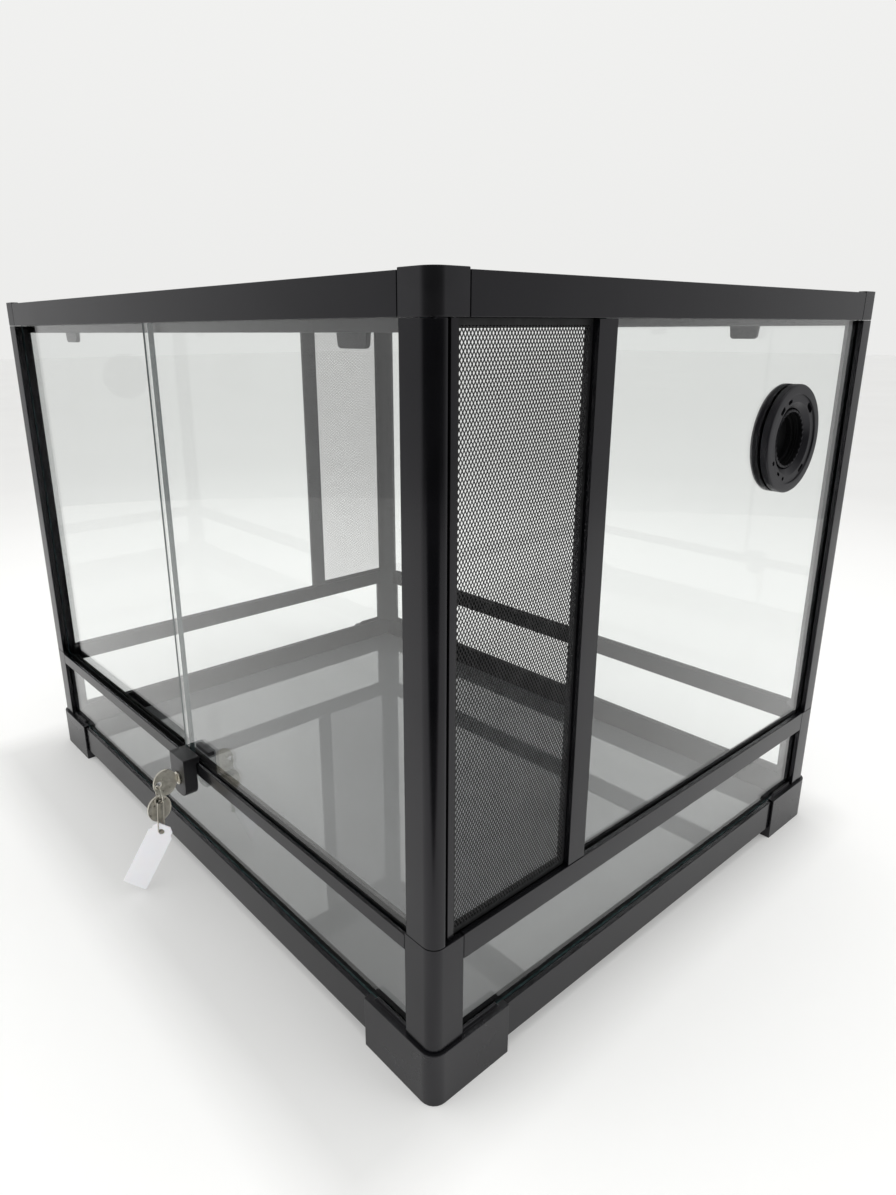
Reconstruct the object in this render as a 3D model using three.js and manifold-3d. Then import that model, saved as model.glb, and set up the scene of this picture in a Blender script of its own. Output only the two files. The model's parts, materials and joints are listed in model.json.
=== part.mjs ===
// Small-pet glass enclosure: framed glass walls, sliding front doors, side mesh vents, lift-off mesh lid.
// Millimetres, +Z up. The front, with the sliding doors, faces -Y. The feet stand on z = 0.
import * as THREE from 'three';
import { mergeVertices } from 'three/addons/utils/BufferGeometryUtils.js';
import Module from 'manifold-3d';

const wasm = await Module();
wasm.setup();

// ---- Driving dimensions -------------------------------------------------------------------------

const WIDTH = 600; // over the frame, along X
const DEPTH = 457; // over the frame, along Y
const HEIGHT = 454; // over the top corner caps
const GAP = 0.3; // left between pieces that meet
const GLASS = 4; // thickness of every pane
const PANE_V = 4; // a fixed pane's outer face, behind the frame's outer face
const WALL = 10; // thickness of the upper wall frame
const SLOT = [PANE_V - 0.4, PANE_V + GLASS + 0.4]; // the groove that holds a fixed pane
const SLOT_ROOT = 12; // bottom of a post's groove, from the corner

// Levels above the table
const RAIL_LOW = 10; // underside of the base rails
const LEDGE = 35.8; // top of the base rails' outer wall
const FOOT_TOP = 37;
const MID_LOW = 92; // underside of the middle rails
const MID_TOP = 108.4; // top of the middle rails, where the upper posts stand
const FRONT_MID_LOW = 96.5; // underside of the door track
const TRACK_BACK = 104.6; // top of the door track's back lip
const TOP_LOW = 433.6; // underside of the top rails' outer face
const TOP = HEIGHT - 1; // top of the top rails

// Corners
const CORNER_R = 8; // rounding of the frame's outer corners
const LOWER_LEG = 23.5; // a lower post's width on each wall
const UPPER_LEG = 20; // an upper post's width beside a fixed pane
const DOOR_LEG = 22; // an upper post's width beside a door
const MESH_LEG = 9.5; // an upper post's width beside a mesh panel
const CAP_LEG = 22.5; // a top corner cap's width on each wall
const FOOT_LEG = 61; // a foot's length along each wall
const FOOT_PROUD = 2; // how far a foot stands out of the frame

// Door track
const TRACK_DEPTH = 15.6; // depth of the front rails
const LIP = 2.2; // thickness of the track's outer and inner lips
const DOOR_OUT_V = 2.8; // outer face of the outer, right-hand door
const DOOR_IN_V = 9; // outer face of the inner, left-hand door
const DOOR_LOW = 101.8;
const DOOR_TOP = 441;
const DOOR_MEET = 1; // x of the outer door's free edge
const DOOR_OVERLAP = 1;

// Side walls: a mesh panel at one end, a mullion, then a pane
const MESH_BAR = [13.3, 18]; // the bar at the mesh panel's edge, from the corner
const MULLION = [114.5, 130]; // the mullion, from the same corner

// Round service port in the right-hand pane
const PORT = { y: 114.5, z: 353, flange: 38, hole: 24, collar: 22.5, bore: 19 };

// Lock and keys, placed from the middle of the front and the frame's front face
const LOCK = { x: 13, width: 24, low: 79, top: 112.5, out: 11, plug: 93.5, plugRadius: 5.2 };
const RING = { radius: 6.5, wire: 0.7 };

const FRONT = -DEPTH / 2;
const TAG = { width: 19.4, length: 60.6, thick: 0.8, above: 6.3, hole: 2.4, cut: [4.9, 8.7] };
const TAG_HOLE = [14.4, FRONT - 29.8, 53.6]; // the hole in the tag
const TAG_TURN = [-0.7, 28.1, 53.6]; // degrees, about X, Y and Z
const REACH_FRONT = 57.4; // how far the tag stands out in front of the frame
const SHIFT_Y = (REACH_FRONT - FOOT_PROUD) / 2; // puts the origin under the middle of the whole object

// ---- Materials ----------------------------------------------------------------------------------

const paint = (color, roughness, metalness, name) =>
  Object.assign(new THREE.MeshStandardMaterial({ color, roughness, metalness }), { name });
const FRAME = paint(0x1d1e20, 0.35, 0.1, 'frame_black');
const PLASTIC = paint(0x242528, 0.45, 0, 'plastic_black');
const PANE = paint(0xdfeeea, 0.03, 0, 'clear_glass');
const FLOOR = paint(0x55585a, 0.08, 0, 'floor_gloss');
const MESH = paint(0x17181a, 0.5, 0.3, 'mesh_black');
const NICKEL = paint(0xa8a395, 0.3, 1, 'key_nickel');
const TAG_WHITE = paint(0xf2f1f4, 0.5, 0, 'tag_white');

// ---- Helpers ------------------------------------------------------------------------------------

const cage = new THREE.Group();
cage.position.y = SHIFT_Y;

/** Drops the points of a closed outline that lie on the line between their neighbours. */
function corners(points) {
  return points.filter(([x, y], i) => {
    const [px, py] = points[(i + points.length - 1) % points.length];
    const [nx, ny] = points[(i + 1) % points.length];
    return Math.abs((x - px) * (ny - y) - (y - py) * (nx - x)) > 1e-9;
  });
}

/** A closed outline as a straight prism from z = 0 to z = length. */
function prism(points, length, holes = []) {
  const shape = new THREE.Shape(corners(points).map(([x, y]) => new THREE.Vector2(x, y)));
  shape.holes = holes;
  return new THREE.ExtrudeGeometry(shape, { depth: length, bevelEnabled: false, curveSegments: 16 });
}

/** A box between two corners. */
function block([x0, y0, z0], [x1, y1, z1]) {
  const box = new THREE.BoxGeometry(x1 - x0, y1 - y0, z1 - z0);
  return box.translate((x0 + x1) / 2, (y0 + y1) / 2, (z0 + z1) / 2);
}

/** Points on an arc, from one angle to another, in degrees. */
function arc(cx, cy, radius, from, to, steps = 6) {
  return Array.from({ length: steps + 1 }, (_, i) => {
    const angle = THREE.MathUtils.degToRad(from + ((to - from) * i) / steps);
    return [cx + radius * Math.cos(angle), cy + radius * Math.sin(angle)];
  });
}

/** A closed geometry as a manifold solid. */
function solid(geometry) {
  const bare = geometry.clone();
  bare.deleteAttribute('normal');
  bare.deleteAttribute('uv');
  const merged = mergeVertices(bare, 1e-4);
  return new wasm.Manifold(
    new wasm.Mesh({
      numProp: 3,
      vertProperties: merged.attributes.position.array,
      triVerts: new Uint32Array(merged.index.array),
    }),
  );
}

/** A manifold solid as a geometry. */
function geometryOf(body) {
  const mesh = body.getMesh();
  const geometry = new THREE.BufferGeometry();
  geometry.setAttribute('position', new THREE.BufferAttribute(mesh.vertProperties, 3));
  geometry.setIndex(new THREE.BufferAttribute(mesh.triVerts, 1));
  geometry.computeVertexNormals();
  return geometry;
}

const join = (...parts) => geometryOf(parts.map(solid).reduce((a, b) => a.add(b)));
const cut = (body, ...tools) => geometryOf(tools.map(solid).reduce((a, b) => a.subtract(b), solid(body)));

/** Names a geometry and puts it in a group. */
function place(name, geometry, material, group = cage) {
  const mesh = new THREE.Mesh(geometry, material);
  mesh.name = name;
  group.add(mesh);
  return mesh;
}

// ---- Walls --------------------------------------------------------------------------------------

// Each wall has its own frame: u runs along it from left to right as seen from outside, v goes
// inwards from the frame's outer face, z is up. Wall n is the front wall turned n quarter turns.
const WALLS = ['front', 'right', 'back', 'left'];
const CORNERS = ['front_left', 'front_right', 'back_right', 'back_left'];
const wallWidth = (n) => (n % 2 ? DEPTH : WIDTH);
const walls = WALLS.map((_, n) => {
  const group = new THREE.Group();
  group.rotation.z = (n * Math.PI) / 2;
  cage.add(group);
  return group;
});

/** The outer face of wall n, in its own frame. */
const faceOf = (n) => -wallWidth(n + 1) / 2;

/** A rail along wall n: its (v, z) outline, between two places along the wall. */
function rail(n, outline, from, to) {
  const face = faceOf(n);
  const bar = prism(outline, to - from);
  bar.applyMatrix4(new THREE.Matrix4().set(0, 0, 1, from, 1, 0, 0, face, 0, 1, 0, 0, 0, 0, 0, 1));
  return bar;
}

/** A rail whose two ends are cut at 45 degrees to meet its neighbours. */
function mitredRail(n, outline) {
  const bar = rail(n, outline, 0, 1);
  const half = wallWidth(n) / 2 - GAP;
  const face = faceOf(n);
  const at = bar.attributes.position;
  for (let i = 0; i < at.count; i++) {
    const depth = at.getY(i) - face;
    const reach = half - (depth < 1 ? CORNER_R : depth); // clear of the foot's rounded corner
    at.setX(i, at.getX(i) > 0.5 ? reach : -reach);
  }
  return bar;
}

/** A flat pane or sheet in wall n. */
function sheet(n, [u0, u1], [z0, z1], v, thickness) {
  return block([u0, faceOf(n) + v, z0], [u1, faceOf(n) + v + thickness, z1]);
}

/** An upright with a plan outline (a along wall n, b inwards), measured from the wall's left end. */
function upright(n, outline, z0, z1) {
  const post = prism(outline, z1 - z0);
  return post.translate(-wallWidth(n) / 2, faceOf(n), z0);
}

// ---- Corner outlines ----------------------------------------------------------------------------

// One leg of a corner post, as (s along the wall, t inwards) from its outer tip to its root.
const glassLeg = (leg, thickness) => [
  [leg, 0],
  [leg, SLOT[0]],
  [SLOT_ROOT, SLOT[0]],
  [SLOT_ROOT, SLOT[1]],
  [leg, SLOT[1]],
  [leg, thickness],
  [thickness, thickness],
];
const doorLeg = [
  [DOOR_LEG, 0],
  [DOOR_LEG, LIP],
  [WALL, LIP],
];
const meshLeg = [
  [MESH_LEG, 0],
  [MESH_LEG, 3.5],
  [MESH_BAR[0] - GAP, 3.5],
  [MESH_BAR[0] - GAP, WALL],
  [WALL, WALL],
];

/** A corner outline with one leg along a and the other along b. */
function cornerOutline(legA, legB) {
  const turned = legB.map(([s, t]) => [t, s]).reverse();
  return [...arc(CORNER_R, CORNER_R, CORNER_R, 180, 270), ...legA, ...turned];
}

/** An L outline round a frame corner, from `outer` mm outside the frame's faces to `inner` mm inside. */
function lOutline(leg, inner, outer = 0) {
  const c = CORNER_R;
  const inside = inner < 0 ? arc(c, c, c - inner, 270, 180) : [[inner, inner]];
  return [
    ...arc(c, c, c + outer, 180, 270),
    [leg, -outer],
    [leg, inner],
    ...inside,
    [inner, leg],
    [-outer, leg],
  ];
}

// ---- Base ---------------------------------------------------------------------------------------

const BASE_DEPTH = 12;
const FLOOR_LIP = 18; // the base rails' lip under the floor panel
const FLOOR_LEVELS = [11.8, 14.8];

function buildBase() {
  const outline = [
    [0, RAIL_LOW],
    [FLOOR_LIP, RAIL_LOW],
    [FLOOR_LIP, FLOOR_LEVELS[0] - GAP],
    [BASE_DEPTH, FLOOR_LEVELS[0] - GAP],
    [BASE_DEPTH, LEDGE + 1.4],
    [SLOT[1], LEDGE + 1.4],
    [SLOT[1], LEDGE - 1.2],
    [SLOT[0], LEDGE - 1.2],
    [SLOT[0], LEDGE],
    [0, LEDGE],
  ];
  WALLS.forEach((name, n) => {
    place(`base_rail_${name}`, mitredRail(n, outline), FRAME, walls[n]);
    place(`foot_${CORNERS[n]}`, foot(n), PLASTIC, walls[n]);
  });
  const reach = [WIDTH / 2 - BASE_DEPTH - GAP, DEPTH / 2 - BASE_DEPTH - GAP];
  const low = [-reach[0], -reach[1], FLOOR_LEVELS[0]];
  place('floor_panel', block(low, [...reach, FLOOR_LEVELS[1]]), FLOOR);
}

/** A corner foot: a block under the rails, a skirt outside them and a lip with a raised bar on top. */
function foot(n) {
  const under = upright(n, lOutline(FOOT_LEG, BASE_DEPTH, FOOT_PROUD), 0, RAIL_LOW - GAP);
  const skirt = upright(n, lOutline(FOOT_LEG, -GAP, FOOT_PROUD), 1, LEDGE + 0.8);
  const lip = upright(n, lOutline(FOOT_LEG, SLOT[0], FOOT_PROUD), LEDGE + GAP, FOOT_TOP);
  const bars = [raisedBar(), raisedBar().applyMatrix4(OTHER_LEG)].map((bar) =>
    bar.translate(-wallWidth(n) / 2, faceOf(n), 0),
  );
  return join(under, skirt, lip, ...bars);
}

// Turns the bar on a foot's first leg onto its other leg.
const OTHER_LEG = new THREE.Matrix4().set(0, -1, 0, 5.4, 1, 0, 0, 0, 0, 0, 1, 0, 0, 0, 0, 1);

/** The raised bar on a foot's lip, beside the pane, with its far end cut at a slant. */
function raisedBar() {
  const [near, far, low, high] = [LOWER_LEG + 1, FOOT_LEG - 5, FOOT_TOP - 0.4, FOOT_TOP + 3];
  const side = prism([[near, low], [far, low], [far - 3, high], [near, high]], 1.8);
  return side.applyMatrix4(new THREE.Matrix4().set(1, 0, 0, 0, 0, 0, -1, 3.6, 0, 1, 0, 0, 0, 0, 0, 1));
}

// ---- Lower band ---------------------------------------------------------------------------------

function buildLowerBand() {
  const outline = cornerOutline(glassLeg(LOWER_LEG, 11), glassLeg(LOWER_LEG, 11));
  const sideRail = [
    [0, MID_LOW],
    [SLOT[0], MID_LOW],
    [SLOT[0], MID_LOW + 6],
    [SLOT[1], MID_LOW + 6],
    [SLOT[1], MID_LOW],
    [12, MID_LOW],
    [12, MID_TOP],
    [SLOT[1], MID_TOP],
    [SLOT[1], MID_TOP - 6],
    [SLOT[0], MID_TOP - 6],
    [SLOT[0], MID_TOP],
    [0, MID_TOP],
  ];
  const trackFloor = DOOR_LOW - GAP;
  const middle = [DOOR_OUT_V + GLASS + 0.6, DOOR_IN_V - 0.6];
  const track = [
    [0, FRONT_MID_LOW],
    [SLOT[0], FRONT_MID_LOW],
    [SLOT[0], FRONT_MID_LOW + 3],
    [SLOT[1], FRONT_MID_LOW + 3],
    [SLOT[1], FRONT_MID_LOW],
    [TRACK_DEPTH, FRONT_MID_LOW],
    [TRACK_DEPTH, TRACK_BACK],
    [TRACK_DEPTH - LIP + 0.2, TRACK_BACK],
    [TRACK_DEPTH - LIP + 0.2, trackFloor],
    [middle[1], trackFloor],
    [middle[1], trackFloor + 4],
    [middle[0], trackFloor + 4],
    [middle[0], trackFloor],
    [LIP, trackFloor],
    [LIP, MID_TOP - 1.9],
    [0, MID_TOP - 1.9],
  ];
  WALLS.forEach((name, n) => {
    const half = wallWidth(n) / 2;
    const end = half - LOWER_LEG - GAP;
    const paneEnd = half - SLOT_ROOT - GAP;
    const paneTop = n === 0 ? FRONT_MID_LOW + 2.7 : MID_LOW + 5.7;
    const post = upright(n, outline, FOOT_TOP + GAP, MID_TOP - GAP);
    place(`lower_post_${CORNERS[n]}`, n < 2 ? cut(post, doorNotch(n, trackFloor)) : post, FRAME, walls[n]);
    place(`mid_rail_${name}`, rail(n, n === 0 ? track : sideRail, -end, end), FRAME, walls[n]);
    place(
      `lower_glass_${name}`,
      sheet(n, [-paneEnd, paneEnd], [LEDGE - 0.9, paneTop], PANE_V, GLASS),
      PANE,
      walls[n],
    );
  });
}

/** The room for a door's lower corner in the top of a front post's front leg. */
function doorNotch(n, floor) {
  const along = [WALL + 0.2, LOWER_LEG + 1];
  const inwards = [LIP, TRACK_DEPTH];
  const [a, b] = n === 0 ? [along, inwards] : [inwards, along];
  const notch = block([a[0], b[0], floor], [a[1], b[1], MID_TOP]);
  return notch.translate(-wallWidth(n) / 2, faceOf(n), 0);
}

// ---- Upper walls --------------------------------------------------------------------------------

const PANE_LOW = MID_TOP - 5.7; // foot of an upper pane, in the middle rail's groove
const PANE_TOP = TOP_LOW + 6.1; // head of an upper pane, in the top rail's groove

function buildUpperWalls() {
  const legs = [
    [doorLeg, glassLeg(UPPER_LEG, WALL)],
    [meshLeg, doorLeg],
    [glassLeg(UPPER_LEG, WALL), glassLeg(UPPER_LEG, WALL)],
    [meshLeg, glassLeg(UPPER_LEG, WALL)],
  ];
  CORNERS.forEach((name, n) => {
    const post = upright(n, cornerOutline(...legs[n]), MID_TOP, TOP_LOW - GAP);
    place(`upper_post_${name}`, post, FRAME, walls[n]);
  });
  const held = SLOT_ROOT + GAP;
  const back = WIDTH / 2 - held;
  place('back_glass', sheet(2, [-back, back], [PANE_LOW, PANE_TOP], PANE_V, GLASS), PANE, walls[2]);
  [1, 3].forEach((n) => buildSideWall(n, held));
}

/** A side wall: mesh panel, mullion and pane, from its left end as seen from outside. */
function buildSideWall(n, held) {
  const name = WALLS[n];
  const left = -DEPTH / 2;
  const groove = MULLION[1] - 6;
  const mullion = [
    [MULLION[0], 0.4],
    [MULLION[1], 0.4],
    [MULLION[1], SLOT[0]],
    [groove, SLOT[0]],
    [groove, SLOT[1]],
    [MULLION[1], SLOT[1]],
    [MULLION[1], WALL],
    [MULLION[0], WALL],
  ];
  const bar = upright(n, mullion, MID_TOP + GAP, TOP_LOW - GAP);
  const notch = block([MULLION[0] - 1, SLOT[1] - GAP, TOP_LOW - 4 - GAP], [MULLION[1] + 1, WALL + 1, TOP_LOW]);
  notch.translate(left, faceOf(n), 0);
  place(`mullion_${name}`, cut(bar, notch), FRAME, walls[n]);

  const meshSheet = [
    [MESH_BAR[0], 2.5],
    [MESH_BAR[1], 2.5],
    [MESH_BAR[1], PANE_V],
    [MULLION[0] - GAP, PANE_V],
    [MULLION[0] - GAP, PANE_V + 1],
    [MESH_BAR[1], PANE_V + 1],
    [MESH_BAR[1], 7],
    [MESH_BAR[0], 7],
  ];
  place(`side_mesh_${name}`, upright(n, meshSheet, MID_TOP + GAP, TOP_LOW - GAP), MESH, walls[n]);

  const [u0, u1] = [left + groove + GAP, DEPTH / 2 - held];
  const outline = [
    [u0, PANE_LOW],
    [u1, PANE_LOW],
    [u1, PANE_TOP],
    [u0, PANE_TOP],
  ];
  const holes = [];
  if (name === 'right') {
    const hole = new THREE.Path();
    hole.absarc(PORT.y, PORT.z, PORT.hole, 0, 2 * Math.PI, true);
    holes.push(hole);
  }
  const pane = prism(outline, GLASS, holes);
  pane.applyMatrix4(
    new THREE.Matrix4().set(1, 0, 0, 0, 0, 0, -1, faceOf(n) + PANE_V + GLASS, 0, 1, 0, 0, 0, 0, 0, 1),
  );
  place(`side_glass_${name}`, pane, PANE, walls[n]);
}

// ---- Top ----------------------------------------------------------------------------------------

const LID_V = 6; // where the step for the lid begins
const LID_SEAT = 447.5; // height of that step

function buildTop() {
  const sideRail = [
    [0, TOP_LOW],
    [SLOT[0], TOP_LOW],
    [SLOT[0], PANE_TOP + GAP],
    [SLOT[1], PANE_TOP + GAP],
    [SLOT[1], TOP_LOW - 4],
    [12, TOP_LOW - 4],
    [12, LID_SEAT],
    [LID_V, LID_SEAT],
    [LID_V, TOP],
    [0, TOP],
  ];
  const trackRoof = DOOR_TOP + 3;
  const inner = TRACK_DEPTH - LIP + 0.2;
  const track = [
    [0, TOP_LOW],
    [LIP, TOP_LOW],
    [LIP, trackRoof],
    [DOOR_OUT_V + GLASS + 0.6, trackRoof],
    [DOOR_OUT_V + GLASS + 0.6, trackRoof - 7],
    [DOOR_IN_V - 0.6, trackRoof - 7],
    [DOOR_IN_V - 0.6, trackRoof],
    [inner, trackRoof],
    [inner, TOP_LOW - 6.4],
    [TRACK_DEPTH, TOP_LOW - 6.4],
    [TRACK_DEPTH, LID_SEAT],
    [LID_V, LID_SEAT],
    [LID_V, TOP],
    [0, TOP],
  ];
  WALLS.forEach((name, n) => {
    const end = wallWidth(n) / 2 - CAP_LEG - GAP;
    place(`top_rail_${name}`, rail(n, n === 0 ? track : sideRail, -end, end), FRAME, walls[n]);
    const cap = join(
      upright(n, lOutline(CAP_LEG, 2.4), TOP_LOW, HEIGHT),
      upright(n, lOutline(CAP_LEG, LID_V), trackRoof, HEIGHT),
    );
    place(`top_cap_${CORNERS[n]}`, cap, PLASTIC, walls[n]);
  });
}

// ---- Sliding doors ------------------------------------------------------------------------------

function buildDoors() {
  const end = WIDTH / 2 - WALL - 0.5;
  const levels = [DOOR_LOW, DOOR_TOP];
  place('right_door', sheet(0, [DOOR_MEET, end], levels, DOOR_OUT_V, GLASS), PANE, walls[0]);
  place('left_door', sheet(0, [-end, DOOR_MEET + DOOR_OVERLAP], levels, DOOR_IN_V, GLASS), PANE, walls[0]);
}

// ---- Lid ----------------------------------------------------------------------------------------

const LID_LEVELS = [LID_SEAT + GAP, 452.2];
const LID_BORDER = 24; // width of the lid's frame
const TAB = { width: 30, low: 419.5, thick: 3 };
const TABS = [
  // name, x, side in y, and distance of its outer face from the frame's outer face
  ['front_left', -171, -1, 16.5],
  ['front_right', 224, -1, 16.5],
  ['back_right', 200, 1, 12.5],
  ['back_left', -200, 1, 12.5],
];

function buildLid() {
  const edge = LID_V + GAP;
  const [x, y] = [WIDTH / 2 - edge, DEPTH / 2 - edge];
  const ring = [
    [-x, -y],
    [x, -y],
    [x, y],
    [-x, y],
  ];
  const window = new THREE.Path(
    [
      [-x + LID_BORDER, -y + LID_BORDER],
      [-x + LID_BORDER, y - LID_BORDER],
      [x - LID_BORDER, y - LID_BORDER],
      [x - LID_BORDER, -y + LID_BORDER],
    ].map(([a, b]) => new THREE.Vector2(a, b)),
  );
  const frame = prism(ring, LID_LEVELS[1] - LID_LEVELS[0], [window]);
  place('lid_frame', frame.translate(0, 0, LID_LEVELS[0]), FRAME);

  const reach = [x - LID_BORDER - GAP, y - LID_BORDER - GAP];
  const middle = (LID_LEVELS[0] + LID_LEVELS[1]) / 2;
  place('lid_mesh', block([-reach[0], -reach[1], middle - 0.5], [...reach, middle + 0.5]), MESH);

  TABS.forEach(([name, x, side, depth]) => {
    const y = side > 0 ? DEPTH / 2 - depth : -DEPTH / 2 + depth + TAB.thick;
    place(`lid_tab_${name}`, lidTab().translate(x, y, 0), PLASTIC);
  });
}

/** A lid tab: a tapered tongue with rounded lower corners, standing in the XZ plane. */
function lidTab() {
  const [half, foot] = [TAB.width / 2, TAB.width / 2 - 3];
  const high = LID_LEVELS[0] - GAP;
  const tongue = prism(
    [
      [-half, high],
      ...arc(-foot + 3, TAB.low + 3, 3, 190, 270),
      ...arc(foot - 3, TAB.low + 3, 3, -90, -10),
      [half, high],
    ],
    TAB.thick,
  );
  return tongue.rotateX(Math.PI / 2);
}

// ---- Lock and keys ------------------------------------------------------------------------------

const KEY = { thick: 2, hole: 2.6, blade: 5.6 };
const IN_LOCK = { long: 9.5, wide: 11, holeUp: 5.6 }; // half sizes of the bow, and its hole
const SPARE = { long: 11, wide: 9.5, holeUp: 7.2, blade: 20, cuts: 4, aside: 3 };
const FACE_Y = FRONT - LOCK.out;
const BOW_Y = FACE_Y - 11; // middle of the bow of the key in the lock
const RING_Y = BOW_Y - IN_LOCK.holeUp;
const RING_Z = LOCK.plug - KEY.hole + RING.wire + GAP - RING.radius; // hangs in that key's hole

function buildLock() {
  const half = LOCK.width / 2;
  const outline = [
    ...arc(-half + 9, LOCK.low + 9, 9, 180, 270, 5),
    ...arc(half - 9, LOCK.low + 9, 9, 270, 360, 5),
    [half, LOCK.top],
    [-half, LOCK.top],
  ];
  const body = prism(outline, LOCK.out - 0.4).rotateX(Math.PI / 2);
  body.translate(LOCK.x, FRONT - 0.4, 0);
  const [padLow, padIn] = [MID_TOP - 1.6, LIP + 0.1];
  const pad = block(
    [LOCK.x - half, FRONT - 2, padLow],
    [LOCK.x + half, FRONT + padIn, LOCK.top],
  );
  const bore = cylinderY(LOCK.plugRadius + GAP, FACE_Y - 1, FRONT - 1.6, LOCK.x, LOCK.plug);
  place('lock_housing', cut(join(body, pad), bore), PLASTIC);

  const keeperV = [TRACK_DEPTH - LIP - 0.1, TRACK_DEPTH + 2.4];
  place(
    'lock_keeper',
    block(
      [LOCK.x - 10, FRONT + keeperV[0], MID_TOP + GAP],
      [LOCK.x + half, FRONT + keeperV[1], LOCK.top - 0.5],
    ),
    PLASTIC,
  );

  const plug = cylinderY(LOCK.plugRadius, FACE_Y - 1, FRONT - 2, LOCK.x, LOCK.plug);
  const keyway = block(
    [LOCK.x - KEY.thick / 2 - GAP, FACE_Y - 2, LOCK.plug - KEY.blade / 2 - GAP],
    [LOCK.x + KEY.thick / 2 + GAP, FRONT - 3, LOCK.plug + KEY.blade / 2 + GAP],
  );
  place('lock_plug', cut(plug, keyway), NICKEL);
}

/** A cylinder along Y between two places, round (x, z). */
function cylinderY(radius, y0, y1, x, z, sides = 24) {
  const rod = new THREE.CylinderGeometry(radius, radius, y1 - y0, sides);
  return rod.translate(x, (y0 + y1) / 2, z);
}

/** A flat key: an oval bow with a hole, and a blade along -Z, in the YZ plane about its bow's middle. */
function keyGeometry({ long, wide, holeUp, cuts = 0 }, bladeLength) {
  const start = -Math.acos(KEY.blade / 2 / wide);
  const bow = Array.from({ length: 21 }, (_, i) => {
    const angle = start + ((Math.PI - 2 * start) * i) / 20;
    return [wide * Math.cos(angle), long * Math.sin(angle)];
  });
  const tip = -long - bladeLength;
  const side = KEY.blade / 2;
  const teeth = Array.from({ length: cuts }, (_, i) => tip + 4 + 3.6 * i).flatMap((z, i) => [
    [side, z - 1.1],
    [side - (i % 2 ? 1.7 : 1.1), z],
    [side, z + 1.1],
  ]);
  const outline = [...bow, [-side, tip + 1.5], [0, tip], [side, tip + 1.5], ...teeth];
  const hole = new THREE.Path();
  hole.absarc(0, holeUp, KEY.hole, 0, 2 * Math.PI, true);
  const key = prism(outline, KEY.thick, [hole]);
  key.applyMatrix4(
    new THREE.Matrix4().set(0, 0, 1, -KEY.thick / 2, 1, 0, 0, 0, 0, 1, 0, 0, 0, 0, 0, 1),
  );
  return key;
}

/** The height of the ring's lower half, a given distance to one side of its middle. */
function ringLow(aside) {
  return RING_Z - Math.sqrt(RING.radius ** 2 - aside ** 2);
}

function buildKeys() {
  const inLock = keyGeometry(IN_LOCK, FRONT - 3.4 - BOW_Y - IN_LOCK.long);
  inLock.rotateX(Math.PI / 2).translate(LOCK.x, BOW_Y, LOCK.plug);
  place('key_in_lock', inLock, NICKEL);

  const ring = new THREE.TorusGeometry(RING.radius, RING.wire, 8, 28);
  ring.rotateX(Math.PI / 2).translate(LOCK.x, RING_Y, RING_Z);
  place('split_ring', ring, NICKEL);

  const slack = 0.6; // the wire slopes where it passes through the spare key
  const top = ringLow(SPARE.aside) + RING.wire + GAP + slack;
  const spare = keyGeometry(SPARE, SPARE.blade);
  spare.translate(LOCK.x - SPARE.aside, RING_Y, top - KEY.hole - SPARE.holeUp);
  place('spare_key', spare, NICKEL);
  buildTag();
}

/** The tag, leaning out with its lower corner on the table, and the loop that ties it to the ring. */
function buildTag() {
  const hole = new THREE.Vector3(...TAG_HOLE);
  const tag = new THREE.Group();
  tag.position.copy(hole);
  tag.rotation.set(...TAG_TURN.map(THREE.MathUtils.degToRad), 'ZXY');
  cage.add(tag);
  const [half, top, foot] = [TAG.width / 2, TAG.above, TAG.above - TAG.length];
  const shoulder = [
    [half, top - TAG.cut[1]],
    [half - 2, top - TAG.cut[1] + 2.2],
    [half - 1.7, top - 3.6],
    [half - TAG.cut[0], top],
  ];
  const outline = [
    ...arc(-half + 1.5, foot + 1.5, 1.5, 180, 270, 3),
    ...arc(half - 1.5, foot + 1.5, 1.5, 270, 360, 3),
    ...shoulder,
    ...shoulder.map(([x, z]) => [-x, z]).reverse(),
  ];
  const eye = new THREE.Path();
  eye.absarc(0, 0, TAG.hole, 0, 2 * Math.PI, true);
  const plate = prism(outline, TAG.thick, [eye]);
  plate.rotateX(Math.PI / 2).translate(0, TAG.thick / 2, 0);
  place('tag', plate, TAG_WHITE, tag);

  const hook = new THREE.Vector3(hole.x, RING_Y, ringLow(hole.x - LOCK.x));
  const tie = tieLoop(hook.distanceTo(hole));
  tie.rotateX(-Math.atan2(hook.y - hole.y, hook.z - hole.z));
  tie.translate(hole.x, (hook.y + hole.y) / 2, (hook.z + hole.z) / 2);
  place('tag_tie', tie, TAG_WHITE);
}

/** A long thin loop in the YZ plane whose two ends close round things a given distance apart. */
function tieLoop(distance) {
  const [radius, wire, steps] = [2.6, 0.4, 16];
  const [past, under] = [1.7, 1]; // how far the ends run beyond the ring's wire and the hole's middle
  const loop = new THREE.TorusGeometry(radius, wire, 6, steps);
  loop.rotateZ(Math.PI / steps);
  const places = loop.attributes.position;
  for (let i = 0; i < places.count; i++) {
    const y = places.getY(i);
    places.setY(i, y > 0 ? y + distance / 2 - radius + past : y - distance / 2 + radius - under);
  }
  return loop.applyMatrix4(new THREE.Matrix4().set(0, 0, 1, 0, 1, 0, 0, 0, 0, 1, 0, 0, 0, 0, 0, 1));
}

// ---- Service port -------------------------------------------------------------------------------

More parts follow.
